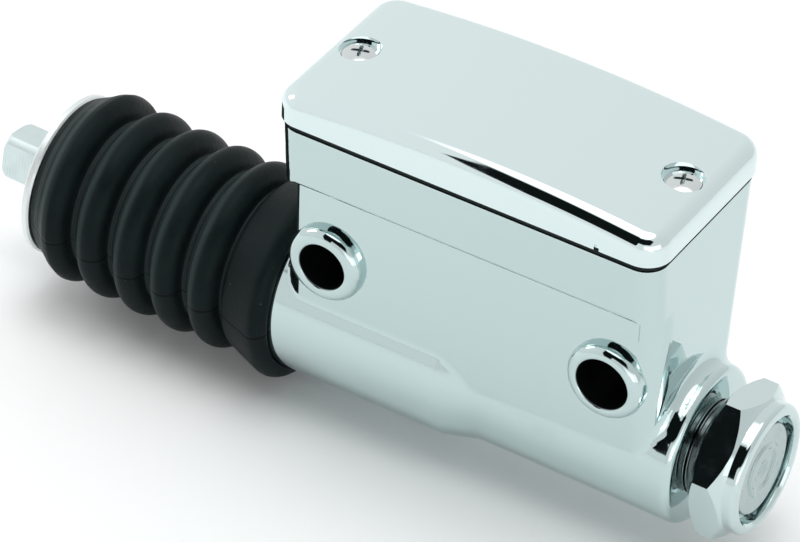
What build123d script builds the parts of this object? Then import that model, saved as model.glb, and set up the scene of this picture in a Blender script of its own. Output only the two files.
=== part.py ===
from build123d import *
import math
import os

os.makedirs("parts", exist_ok=True)

# Rear brake master cylinder, millimetres.  The origin is where the cylinder axis meets the body's end face
# on the nut side; +X runs along the axis out through the nut, -Y is the side with the boss faces, +Z is up.

# ---- body casting ----
barrel_left = -100.0        # end the boot fits over
barrel_r_left = 18.2        # stout half of the barrel
barrel_r_mid = 16.3
barrel_r_end = 16.7
step_left, step_right = -53.0, -45.0
web_left, web_y = -87.6, 15.9
deck_z = 53.2               # top face of the reservoir
deck_x0, deck_x1 = -89.2, -4.5
deck_y = 20.6
corner_r = 4.8
foot_y, foot_z = 15.8, 0.0
ledge_z, ledge_round, ledge_root = 39.2, 1.7, 1.0
recess_end = -1.0           # past the corner, so the ledge dies out in its rounding
floor_z = 33.0
cavity_x0, cavity_x1, cavity_y = -84.4, -9.3, 15.8
pillar_r = 5.6

# ---- mounting bosses ----
boss_z = 21.0
boss_x_left, boss_x_right = -79.0, -15.2
boss_r = 8.4
boss_front, boss_back = -18.5, 18.6
boss_rim, boss_mouth = 2.1, 0.6
web_blend = 2.8
hole_r_left, hole_r_right = 5.1, 5.6

# ---- cover, diaphragm and screws ----
cover_x0, cover_x1, cover_y = -89.85, -3.85, 21.2
cover_z = 54.8
cover_side, cover_round, cover_crown = 2.4, 3.6, 2.7
cover_corner = 5.4
screw_inset = 6.85
screw_x = (cover_x0 + screw_inset, cover_x1 - screw_inset)
screw_top = 61.2
screw_head_r, screw_r, screw_pitch = 3.7, 2.0, 0.7
rim_inset = 0.8             # the diaphragm rim stops this far inside the cover

# ---- cartridge ----
sleeve_r = 12.0
sleeve_fit = 0.05
bore_r = 7.94
flange_r, flange_x0, flange_x1 = 14.5, -98.0, -94.0
neck_r, neck_x = 10.1, -6.0
thread_r, thread_pitch = 10.0, 1.5
nose_x = 11.2
bore_end = -9.0
mouth_r, seat_x = 9.2, -92.5
ring_x, ring_t, ring_groove_r = -94.9, 1.0, 10.0
o_ring_x = (-86.0, -22.0)
o_ring_r, o_ring_major = 0.82, 11.2
feed_x, vent_x = -54.0, -42.5
port_r, port_x = 4.3, 3.0

# ---- nut ----
nut_x0, nut_hex_x1, nut_x1 = 3.3, 10.6, 13.2
nut_flats = 28.6
nut_turn = 45.0
nut_ring_r, nut_recess_r = 13.9, 11.2

# ---- piston train ----
piston_r = 7.9
ball_r, ball_x = 4.8, -88.6
stroke = 15.0

# ---- pushrod, plate, boot ----
rod_tilt = 1.15             # the rod rests slightly raised at its outer end
neck_rod_r, shank_r, head_r = 3.0, 5.0, 6.1
head_flats, head_turn = 9.8, 10.0
plate_in, plate_out = 62.0, 63.8      # distance of the plate faces from the ball centre
plate_r = 17.4
rod_length = 77.0
rod_thread_r, rod_thread_depth = 3.4, 14.0
crest_x = [-143.9 + 9.08 * i for i in range(5)]
crest_r, root_r, boot_wall = 20.1, 16.0, 1.6
coil_r, wire_r = 12.5, 0.9


def thread_points(x0, x1, radius, pitch, depth):
    """Crest and root points of a thread seen along its side."""
    points = [(x0, radius - depth)]
    count = int((x1 - x0) / pitch)
    for i in range(count):
        points.append((x0 + (i + 0.45) * pitch, radius))
        points.append((x0 + (i + 0.55) * pitch, radius))
        points.append((x0 + (i + 1) * pitch, radius - depth))
    return points


def save(builder, name):
    """Label a finished part and write its STEP file."""
    builder.part.label = name
    export_step(builder.part, f"parts/{name}.step")


# ---------------------------------------------------------------- set-back under the reservoir's front wall
wall_y = foot_y + (ledge_z + ledge_round - foot_z) / (deck_z - foot_z) * (deck_y - foot_y)
with BuildPart() as front_recess:
    with BuildSketch(Plane.YZ.offset(-95)):
        with BuildLine():
            Polyline((-30, foot_z - 1), (-30, ledge_z + ledge_round), (-wall_y, ledge_z + ledge_round))
            CenterArc((-wall_y + ledge_round, ledge_z + ledge_round), ledge_round, 180, 90)
            Line((-wall_y + ledge_round, ledge_z), (-web_y - ledge_root, ledge_z))
            CenterArc((-web_y - ledge_root, ledge_z - ledge_root), ledge_root, 90, -90)
            Polyline((-web_y, ledge_z - ledge_root), (-web_y, foot_z - 1), (-30, foot_z - 1))
        make_face()
    extrude(amount=95 + recess_end)

# ---------------------------------------------------------------- reservoir body
with BuildPart() as reservoir_body:
    # tapered block: web and reservoir in one
    block_x = (deck_x0 + deck_x1) / 2
    for z, half in ((foot_z, foot_y), (deck_z, deck_y)):
        with BuildSketch(Plane.XY.offset(z)):
            with Locations((block_x, 0)):
                RectangleRounded(deck_x1 - deck_x0, 2 * half, corner_r)
    loft()
    add(front_recess.part, mode=Mode.SUBTRACT)
    # corner under the ledge, turned round to the end wall
    with BuildSketch(Plane.XY.offset(foot_z - 1)):
        with BuildLine():
            CenterArc((deck_x1 - corner_r, corner_r - web_y), corner_r, -90, 90)
            Polyline((deck_x1, corner_r - web_y), (deck_x1 + 2, corner_r - web_y), (deck_x1 + 2, -30),
                     (deck_x1 - corner_r, -30), (deck_x1 - corner_r, -web_y))
        make_face()
    extrude(amount=ledge_z - foot_z + 1, mode=Mode.SUBTRACT)
    # overhang at the boot end
    with BuildSketch(Plane.XY.offset(foot_z - 1)):
        with Locations((web_left - 10, 0)):
            Rectangle(20, 60)
    extrude(amount=ledge_z - foot_z + 1, mode=Mode.SUBTRACT)
    fillet(edges().filter_by(Axis.Z).filter_by(lambda e: abs(e.center().X - web_left) < 0.01), 2.5)
    # barrel
    with BuildSketch(Plane.XZ):
        with BuildLine():
            Polyline(
                (barrel_left, 0), (barrel_left, barrel_r_left - 1.0), (barrel_left + 1.0, barrel_r_left),
                (-97.4, barrel_r_left), (-97.0, 17.2), (-95.0, 17.2), (-94.6, barrel_r_left),
                (step_left, barrel_r_left), (step_right, barrel_r_mid), (-4.0, barrel_r_end),
                (0, barrel_r_end), (0, 0), close=True)
        make_face()
    revolve(axis=Axis.X)
    # soft cast blend all round the foot of the web
    web_foot = edges().filter_by(
        lambda e: 4 < e.center().Z < 17.5 and -84 < e.center().X < -4 and abs(e.center().Y) > 3 and e.length > 3
        and not (e.center().Y < 0 and 12 < e.center().Z < 15))
    fillet(web_foot, web_blend)
    # bosses across the web
    for x in (boss_x_left, boss_x_right):
        with BuildSketch(Plane.XZ.offset(-boss_back)):
            with Locations((x, boss_z)):
                Circle(boss_r)
        extrude(amount=boss_back - boss_front)
    # flared end of the barrel where the end wall comes down
    fillet(faces().filter_by(Axis.X).sort_by(Axis.X)[-1].outer_wire().edges(), 1.8)
    # reservoir cavity with a pillar at each end for the cover screws
    with BuildSketch(Plane.XY.offset(floor_z)):
        with Locations(((cavity_x0 + cavity_x1) / 2, 0)):
            RectangleRounded(cavity_x1 - cavity_x0, 2 * cavity_y, 4.0)
        for x, side in zip(screw_x, (-1, 1)):
            with Locations((x, 0)):
                Circle(pillar_r, mode=Mode.SUBTRACT)
            with Locations((x + side * 3, 0)):
                Rectangle(6, 2 * pillar_r, mode=Mode.SUBTRACT)
    extrude(amount=deck_z - floor_z + 1, mode=Mode.SUBTRACT)
    # cylinder bore, flange counterbore and the hole for the threaded nose
    with BuildSketch(Plane.XZ):
        with BuildLine():
            Polyline(
                (barrel_left - 1, 0), (barrel_left - 1, flange_r + 0.1), (flange_x1, flange_r + 0.1),
                (flange_x1, sleeve_r + sleeve_fit), (neck_x, sleeve_r + sleeve_fit),
                (neck_x, neck_r + sleeve_fit),
                (1, neck_r + sleeve_fit), (1, 0), close=True)
        make_face()
    revolve(axis=Axis.X, mode=Mode.SUBTRACT)
    # boss holes, with soft rims and mouths
    for x, r in ((boss_x_left, hole_r_left), (boss_x_right, hole_r_right)):
        with Locations(Plane(origin=(x, boss_front, boss_z), x_dir=(1, 0, 0), z_dir=(0, -1, 0))):
            Hole(radius=r)
        boss_rims = edges().filter_by(GeomType.CIRCLE).filter_by(
            lambda e: abs(e.radius - boss_r) < 1e-3 and abs(e.arc_center.Y - boss_front) < 1e-3
            and abs(e.arc_center.X - x) < 1e-3)
        fillet(boss_rims, boss_rim)
        mouth_rims = edges().filter_by(GeomType.CIRCLE).filter_by(
            lambda e: abs(e.radius - r) < 1e-3 and abs(e.arc_center.Y - boss_front) < 1e-3)
        fillet(mouth_rims, boss_mouth)
    # fluid passages from the reservoir floor down to the cartridge
    for x, r in ((feed_x, 1.6), (vent_x, 0.8)):
        with Locations(Plane.XY.offset(floor_z) * Location((x, 0, 0))):
            Hole(radius=r, depth=floor_z - 8)
    # tapped holes for the cover screws
    for x in screw_x:
        with Locations(Plane.XY.offset(deck_z) * Location((x, 0, 0))):
            Hole(radius=screw_r + 0.03, depth=13)
save(reservoir_body, "reservoir_body")


# ---------------------------------------------------------------- reservoir cover
with BuildPart() as reservoir_cover:
    cover_mid = (cover_x0 + cover_x1) / 2
    cover_edge = cover_z + cover_side + cover_round
    # long side view with the arched top, drawn across the full width
    with BuildSketch(Plane.XZ.offset(-cover_y)):
        with BuildLine():
            Polyline((cover_x0, cover_edge), (cover_x0, cover_z), (cover_x1, cover_z), (cover_x1, cover_edge))
            ThreePointArc((cover_x1, cover_edge), (cover_mid, cover_edge + cover_crown), (cover_x0, cover_edge))
        make_face()
    extrude(amount=2 * cover_y)
    with BuildSketch(Plane.XY.offset(cover_z)):
        with Locations((cover_mid, 0)):
            RectangleRounded(cover_x1 - cover_x0, 2 * cover_y, cover_corner)
    extrude(amount=20, mode=Mode.INTERSECT)
    fillet(faces().sort_by(Axis.Z)[-1].outer_wire().edges(), cover_round)
    # air space above the diaphragm
    with BuildSketch(Plane.XY.offset(cover_z)):
        with Locations((cover_mid, 0)):
            RectangleRounded(60, 30, 4)
    extrude(amount=2.4, mode=Mode.SUBTRACT)
    # screw holes: shallow spotface, cone for the head, clearance for the shank
    for x in screw_x:
        with Locations(Plane.XY.offset(screw_top - 0.9) * Location((x, 0, 0))):
            CounterSinkHole(radius=screw_r + 0.3, counter_sink_radius=screw_head_r + 0.1, counter_sink_angle=90)
        with Locations(Plane.XY.offset(screw_top - 0.9) * Location((x, 0, 0))):
            Cylinder(4.3, 6, align=(Align.CENTER, Align.CENTER, Align.MIN), mode=Mode.SUBTRACT)
    # breather notch in the front lower edge
    with Locations((-17.0, -cover_y, cover_z)):
        Box(1.1, 1.6, 2.6, mode=Mode.SUBTRACT)
save(reservoir_cover, "reservoir_cover")

# ---------------------------------------------------------------- rubber diaphragm with its sealing rim
with BuildPart() as cover_diaphragm:
    with BuildSketch(Plane.XY.offset(deck_z)):
        with Locations((cover_mid, 0)):
            RectangleRounded(cover_x1 - cover_x0 - 2 * rim_inset, 2 * (cover_y - rim_inset),
                             cover_corner - rim_inset)
            RectangleRounded(58, 26, 4, mode=Mode.SUBTRACT)
        for x in screw_x:
            with Locations((x, 0)):
                Circle(screw_r + 0.3, mode=Mode.SUBTRACT)
    extrude(amount=cover_z - deck_z)
    # sunken bag that follows the fluid level, open to the air side
    with BuildSketch(Plane.XY.offset(deck_z - 9)):
        with Locations((cover_mid, 0)):
            RectangleRounded(58, 26, 4)
    extrude(amount=9 + cover_z - deck_z)
    with BuildSketch(Plane.XY.offset(deck_z - 7.8)):
        with Locations((cover_mid, 0)):
            RectangleRounded(55.6, 23.6, 3)
    extrude(amount=9 + cover_z - deck_z, mode=Mode.SUBTRACT)
save(cover_diaphragm, "cover_diaphragm")

# ---------------------------------------------------------------- two cover screws
screw_seat = screw_top - 0.9 - (screw_head_r - screw_r)
screw_end = deck_z - 11.5
with BuildPart() as cover_screws:
    for x in screw_x:
        with BuildSketch(Plane(origin=(x, 0, 0), x_dir=(1, 0, 0), z_dir=(0, -1, 0))):
            with BuildLine():
                Polyline(
                    (0, screw_end), (screw_r - 0.6, screw_end),
                    *[(r, screw_end + 12.0 - (z - screw_end))
                      for z, r in thread_points(screw_end, screw_end + 12.0, screw_r, screw_pitch, 0.35)][::-1],
                    (screw_r, screw_seat), (screw_head_r, screw_top - 0.9), (screw_head_r, screw_top - 0.7))
                ThreePointArc((screw_head_r, screw_top - 0.7), (screw_head_r * 0.55, screw_top - 0.18),
                              (0, screw_top))
                Line((0, screw_top), (0, screw_end))
            make_face()
        revolve(axis=Axis((x, 0, 0), (0, 0, 1)))
    # cross recess
    for x in screw_x:
        for turn in (0, 90):
            with BuildSketch(Plane(origin=(x, 0, screw_top + 0.1), x_dir=(1, 0, 0), z_dir=(0, 0, 1))):
                SlotOverall(3.9, 0.85, rotation=turn + 20)
            extrude(amount=-1.5, taper=12, mode=Mode.SUBTRACT)
save(cover_screws, "cover_screws")

# ---------------------------------------------------------------- cartridge sleeve
with BuildPart() as cartridge_sleeve:
    with BuildSketch(Plane.XZ):
        with BuildLine():
            Polyline(
                (flange_x0, mouth_r + 0.5), (flange_x0, flange_r - 0.5), (flange_x0 + 0.5, flange_r),
                (flange_x1, flange_r), (flange_x1, sleeve_r),
                (o_ring_x[0] - 1.2, sleeve_r), (o_ring_x[0] - 1.2, 10.35),
                (o_ring_x[0] + 1.2, 10.35), (o_ring_x[0] + 1.2, sleeve_r),
                (-62, sleeve_r), (-61, 11.0), (-36, 11.0), (-35, sleeve_r),
                (o_ring_x[1] - 1.2, sleeve_r), (o_ring_x[1] - 1.2, 10.35),
                (o_ring_x[1] + 1.2, 10.35), (o_ring_x[1] + 1.2, sleeve_r),
                (neck_x - 0.1, sleeve_r), (neck_x - 0.1, neck_r), (-0.4, neck_r),
                *thread_points(-0.4, nose_x - 0.7, thread_r, thread_pitch, 0.8),
                (nose_x, thread_r - 1.4), (nose_x, port_r + 0.8), (nose_x - 0.8, port_r), (port_x, port_r),
                (port_x - 1.4, 1.8), (bore_end + 2.4, 1.8), (bore_end, bore_r - 1.0), (bore_end - 1.0, bore_r),
                (seat_x, bore_r), (seat_x, mouth_r), (ring_x + ring_t + 0.1, mouth_r),
                (ring_x + ring_t + 0.1, ring_groove_r), (ring_x - 0.1, ring_groove_r), (ring_x - 0.1, mouth_r),
                (flange_x0 + 0.5, mouth_r), close=True)
        make_face()
    revolve(axis=Axis.X)
    # feed hole behind the primary cup and the fine vent hole just ahead of it
    for x, r in ((feed_x, 1.3), (vent_x, 0.4)):
        with Locations(Plane.XY.offset(sleeve_r) * Location((x, 0, 0))):
            Hole(radius=r, depth=sleeve_r)
save(cartridge_sleeve, "cartridge_sleeve")

with BuildPart() as sleeve_o_rings:
    for x in o_ring_x:
        with BuildSketch(Plane.XZ):
            with Locations((x, o_ring_major)):
                Circle(o_ring_r)
        revolve(axis=Axis.X)
save(sleeve_o_rings, "sleeve_o_rings")

# ---------------------------------------------------------------- mounting nut
with BuildPart() as mounting_nut:
    with BuildSketch(Plane.YZ.offset(nut_x0)):
        RegularPolygon(nut_flats / 2, 6, major_radius=False, rotation=nut_turn)
    extrude(amount=nut_hex_x1 - nut_x0)
    # thirty degree chamfers on both sides of the hexagon
    with BuildSketch(Plane.XZ):
        with BuildLine():
            Polyline(
                (nut_x0, 0), (nut_x0, nut_flats / 2 - 0.3), (nut_x0 + 1.9, 17.1), (nut_hex_x1 - 3.0, 17.1),
                (nut_hex_x1 - 0.9, nut_flats / 2 + 0.2), (nut_hex_x1, nut_ring_r - 0.1), (nut_hex_x1, 0),
                close=True)
        make_face()
    revolve(axis=Axis.X, mode=Mode.INTERSECT)
    # raised ring round the recess, with a rolled outer edge
    with BuildSketch(Plane.XZ):
        with BuildLine():
            Polyline(
                (nut_hex_x1 - 1.5, 0), (nut_hex_x1 - 1.5, nut_ring_r), (nut_x1 - 1.3, nut_ring_r - 0.1))
            ThreePointArc(
                (nut_x1 - 1.3, nut_ring_r - 0.1), (nut_x1 - 0.3, nut_ring_r - 0.55), (nut_x1, nut_ring_r - 1.3))
            Polyline((nut_x1, nut_ring_r - 1.3), (nut_x1, 0), (nut_hex_x1 - 1.5, 0))
        make_face()
    revolve(axis=Axis.X)
    with BuildSketch(Plane.XZ):
        with BuildLine():
            Polyline(
                (nut_x0 - 1, 0), (nut_x0 - 1, thread_r + 1.0), (nut_x0, thread_r + 1.0),
                (nut_x0 + 1.0, thread_r + 0.02), (nut_hex_x1 - 0.2, thread_r + 0.02),
                (nut_hex_x1 - 0.2, nut_recess_r - 0.2), (nut_x1 - 0.5, nut_recess_r),
                (nut_x1, nut_recess_r + 0.5),
                (nut_x1 + 1, nut_recess_r + 0.5), (nut_x1 + 1, 0), close=True)
        make_face()
    revolve(axis=Axis.X, mode=Mode.SUBTRACT)
save(mounting_nut, "mounting_nut")

# ---------------------------------------------------------------- dust plug in the outlet
with BuildPart() as outlet_dust_plug:
    with BuildSketch(Plane.XZ):
        with BuildLine():
            Polyline(
                (nose_x - 6.5, 0), (nose_x - 6.5, 3.2), (nose_x - 5.9, 3.9), (nose_x - 4.2, 3.5),
                (nose_x - 3.0, port_r - 0.05), (nose_x - 1.6, port_r - 0.05), (nose_x - 0.9, port_r - 0.4),
                (nose_x, port_r - 0.4), (nose_x, 9.3))
            ThreePointArc((nose_x, 9.3), (nose_x + 0.45, 9.7), (nose_x + 0.9, 9.3))
            Polyline(
                (nose_x + 0.9, 9.3), (nose_x + 0.8, 6.0), (nose_x + 1.15, 5.4), (nose_x + 1.15, 4.8),
                (nose_x + 0.8, 4.2), (nose_x + 0.8, 2.0), (nose_x + 0.3, 0.8), (nose_x + 0.2, 0),
                (nose_x - 6.5, 0))
        make_face()
    revolve(axis=Axis.X)
save(outlet_dust_plug, "outlet_dust_plug")

# ---------------------------------------------------------------- piston train
with BuildPart() as piston:
    with BuildSketch(Plane.XZ):
        with BuildLine():
            Polyline(
                (seat_x + 0.05, 5.0), (seat_x + 0.05, piston_r - 0.4), (seat_x + 0.45, piston_r),
                (-86.4, piston_r), (-86.4, 6.0), (-82.4, 6.0), (-82.4, piston_r), (-80.0, piston_r),
                (-79.0, 5.2), (-57.6, 5.2), (-56.6, piston_r), (-50.6, piston_r), (-50.2, piston_r - 0.4),
                (-50.2, 2.4), (-44.4, 2.4), (-43.9, 2.0), (-43.9, 0), (ball_x + ball_r + 0.06, 0))
            CenterArc((ball_x, 0), ball_r + 0.06, 0, 90)
            Polyline((ball_x, ball_r + 0.06), (ball_x - 0.2, 5.0), (seat_x + 0.05, 5.0))
        make_face()
    revolve(axis=Axis.X)
save(piston, "piston")

with BuildPart() as cup_backing_washer:
    with BuildSketch(Plane.YZ.offset(-50.15)):
        Circle(7.5)
        Circle(2.5, mode=Mode.SUBTRACT)
    extrude(amount=0.4)
save(cup_backing_washer, "cup_backing_washer")

with BuildPart() as primary_cup:
    with BuildSketch(Plane.XZ):
        with BuildLine():
            Polyline(
                (-49.7, 2.5), (-49.7, 7.2), (-49.2, 7.5), (-45.4, bore_r - 0.01), (-45.0, 7.3), (-47.2, 6.3),
                (-47.4, 4.2), (-46.4, 3.9), (-46.2, 2.5), close=True)
        make_face()
    revolve(axis=Axis.X)
save(primary_cup, "primary_cup")

with BuildPart() as secondary_cup:
    with BuildSketch(Plane.XZ):
        with BuildLine():
            Polyline(
                (-86.2, 6.05), (-86.2, 7.4), (-85.6, 7.6), (-82.9, bore_r - 0.01), (-82.6, 7.5), (-84.0, 7.0),
                (-84.2, 6.7), (-82.9, 6.4), (-82.7, 6.05), close=True)
        make_face()
    revolve(axis=Axis.X)
save(secondary_cup, "secondary_cup")

with BuildPart() as spring_retainer:
    with BuildSketch(Plane.XZ):
        with BuildLine():
            Polyline(
                (-46.1, 2.45), (-46.1, 3.8), (-44.6, 3.8), (-44.6, 6.2), (-44.0, 6.2), (-44.0, 4.3),
                (-42.4, 4.2), (-42.4, 0), (-43.8, 0), (-43.8, 2.45), close=True)
        make_face()
    revolve(axis=Axis.X)
save(spring_retainer, "spring_retainer")

with BuildPart() as piston_return_spring:
    spring_x0, spring_x1, spring_r, spring_wire = -43.2, -10.5, 5.2, 0.6
    with BuildLine() as inner_coil:
        Helix(
            pitch=(spring_x1 - spring_x0) / 9, height=spring_x1 - spring_x0, radius=spring_r,
            center=(spring_x0, 0, 0), direction=(1, 0, 0))
    with BuildSketch(Plane(origin=inner_coil.line @ 0, z_dir=inner_coil.line % 0)):
        Circle(spring_wire)
    sweep(path=inner_coil.line, is_frenet=True)
save(piston_return_spring, "piston_return_spring")

# ---------------------------------------------------------------- stop washer and retaining ring in the mouth
with BuildPart() as stop_washer:
    with BuildSketch(Plane.YZ.offset(seat_x - 1.25)):
        Circle(mouth_r - 0.1)
        Circle(4.3, mode=Mode.SUBTRACT)
    extrude(amount=1.2)
save(stop_washer, "stop_washer")

with BuildPart() as retaining_ring:
    with BuildSketch(Plane.YZ.offset(ring_x)):
        Circle(ring_groove_r - 0.05)
        Circle(7.9, mode=Mode.SUBTRACT)
        with Locations((0, -8)):
            Rectangle(5.0, 8, mode=Mode.SUBTRACT)
        # lugs with plier holes
        for side in (-1, 1):
            with Locations((side * 3.6, -6.9)):
                Circle(1.6)
                Circle(0.7, mode=Mode.SUBTRACT)
    extrude(amount=ring_t)
save(retaining_ring, "retaining_ring")

# ---------------------------------------------------------------- pushrod, on an axis tilted about the ball
tilt = math.radians(rod_tilt)
rod_out = Vector(-math.cos(tilt), 0, math.sin(tilt))
ball_centre = Vector(ball_x, 0, 0)
rod_side = Plane(origin=ball_centre, x_dir=rod_out, z_dir=(0, -1, 0))
rod_axis = Axis(ball_centre, rod_out)


def across_rod(distance):
    """Plane square to the rod, a given distance out from the ball centre."""
    return Plane(origin=ball_centre + rod_out * distance, x_dir=(0, 1, 0), z_dir=rod_out)


neck_start = math.sqrt(ball_r ** 2 - neck_rod_r ** 2)
with BuildPart() as pushrod:
    with BuildSketch(rod_side):
        with BuildLine():
            CenterArc((0, 0), ball_r, math.degrees(math.asin(neck_rod_r / ball_r)),
                      180 - math.degrees(math.asin(neck_rod_r / ball_r)))
            Polyline(
                (neck_start, neck_rod_r), (22.5, neck_rod_r), (25.0, shank_r), (plate_out, shank_r),
                (plate_out, head_r), (rod_length - 0.7, head_r), (rod_length, head_r - 0.7), (rod_length, 0),
                (-ball_r, 0))
        make_face()
    revolve(axis=rod_axis)
    # square flats milled on the head
    with BuildSketch(across_rod(plate_out + 0.6)):
        Circle(head_r + 2)
        Rectangle(head_flats, head_flats, rotation=head_turn, mode=Mode.SUBTRACT)
    extrude(amount=rod_length, mode=Mode.SUBTRACT)
    # threaded hole for the brake rod
    with Locations(across_rod(rod_length)):
        CounterSinkHole(radius=rod_thread_r, counter_sink_radius=rod_thread_r + 0.7, depth=rod_thread_depth,
                        counter_sink_angle=90)
save(pushrod, "pushrod")

# ---------------------------------------------------------------- plate for the outer spring and boot end
with BuildPart() as boot_plate:
    with BuildSketch(rod_side):
        with BuildLine():
            Polyline(
                (plate_in, shank_r + 0.05), (plate_in, 9.0), (plate_in - 1.6, 9.6), (plate_in - 1.6, 10.8),
                (plate_in, 11.3), (plate_in, plate_r - 0.4), (plate_in + 0.4, plate_r),
                (plate_out - 0.4, plate_r),
                (plate_out, plate_r - 0.4), (plate_out, shank_r + 0.05), close=True)
        make_face()
    revolve(axis=rod_axis)
save(boot_plate, "boot_plate")

with BuildPart() as pushrod_spring:
    coil_x0, coil_x1 = flange_x0 - wire_r - 0.15, -149.2 + wire_r + 0.1
    with BuildLine() as outer_coil:
        Helix(
            pitch=(coil_x0 - coil_x1) / 8, height=coil_x0 - coil_x1, radius=coil_r,
            center=(coil_x0, 0, 0), direction=(-1, 0, 0))
    with BuildSketch(Plane(origin=outer_coil.line @ 0, z_dir=outer_coil.line % 0)):
        Circle(wire_r)
    sweep(path=outer_coil.line, is_frenet=True)
save(pushrod_spring, "pushrod_spring")

# ---------------------------------------------------------------- bellows boot
with BuildPart() as boot:
    half_pitch = (crest_x[1] - crest_x[0]) / 2
    # convolutions from the plate end to the collar: (x, outside radius)
    folds = [(-150.2, 17.0), (-148.4, 18.2)]
    for x in crest_x:
        folds += [(x - 1.9, crest_r - 0.6), (x, crest_r), (x + 1.9, crest_r - 0.6)]
        if x != crest_x[-1]:
            folds += [(x + half_pitch - 0.8, root_r + 0.5), (x + half_pitch, root_r),
                      (x + half_pitch + 0.8, root_r + 0.5)]
    with BuildSketch(Plane.XZ):
        with BuildLine():
            Polyline(*folds, (-104.0, 18.9), (-102.6, 19.5), (-94.6, 21.4), (-92.4, 21.6), (-91.6, 21.0),
                     (-91.5, 18.5), (-101.0, 18.5), (-101.0, 17.6),
                     *[(x, r - boot_wall) for x, r in folds[::-1][1:]], close=True)
        make_face()
    revolve(axis=Axis.X)
save(boot, "boot")
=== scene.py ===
"""Looks for a rear brake master cylinder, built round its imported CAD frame.

Lengths are metres in the part's own frame: +X runs along the cylinder axis and out through the nut, -Y is the
side with the boss faces and +Z is up.
"""

import logging
import math
from dataclasses import dataclass, field
from enum import Enum
from typing import Any, Sequence

import bmesh
import bpy
from mathutils import Matrix, Vector


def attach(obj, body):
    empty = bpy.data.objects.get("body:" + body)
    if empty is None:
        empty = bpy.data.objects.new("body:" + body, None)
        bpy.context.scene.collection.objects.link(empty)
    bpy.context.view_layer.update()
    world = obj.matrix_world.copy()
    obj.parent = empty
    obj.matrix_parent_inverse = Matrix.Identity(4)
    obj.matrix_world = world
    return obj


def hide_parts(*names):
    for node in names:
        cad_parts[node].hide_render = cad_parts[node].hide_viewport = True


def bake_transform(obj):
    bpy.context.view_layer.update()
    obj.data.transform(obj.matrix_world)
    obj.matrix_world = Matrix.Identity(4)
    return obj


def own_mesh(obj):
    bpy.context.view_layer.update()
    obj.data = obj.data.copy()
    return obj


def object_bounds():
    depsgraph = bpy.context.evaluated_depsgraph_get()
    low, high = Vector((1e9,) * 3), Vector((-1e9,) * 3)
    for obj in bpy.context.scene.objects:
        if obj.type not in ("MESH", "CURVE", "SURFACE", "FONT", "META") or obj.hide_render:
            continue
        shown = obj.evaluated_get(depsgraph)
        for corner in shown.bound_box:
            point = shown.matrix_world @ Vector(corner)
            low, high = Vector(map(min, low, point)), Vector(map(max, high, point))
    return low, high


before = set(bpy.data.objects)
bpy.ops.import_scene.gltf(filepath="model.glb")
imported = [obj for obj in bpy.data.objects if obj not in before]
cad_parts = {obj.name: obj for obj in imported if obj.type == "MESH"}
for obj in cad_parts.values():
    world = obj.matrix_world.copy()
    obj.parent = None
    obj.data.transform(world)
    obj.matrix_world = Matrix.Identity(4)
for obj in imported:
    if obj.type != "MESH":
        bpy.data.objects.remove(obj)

log = logging.getLogger("master_cylinder")
MM = 0.001
Colour = tuple[float, float, float]
Point = tuple[float, float]
NODES: dict[str, bpy.types.Object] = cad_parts
CAD_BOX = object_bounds()


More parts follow.
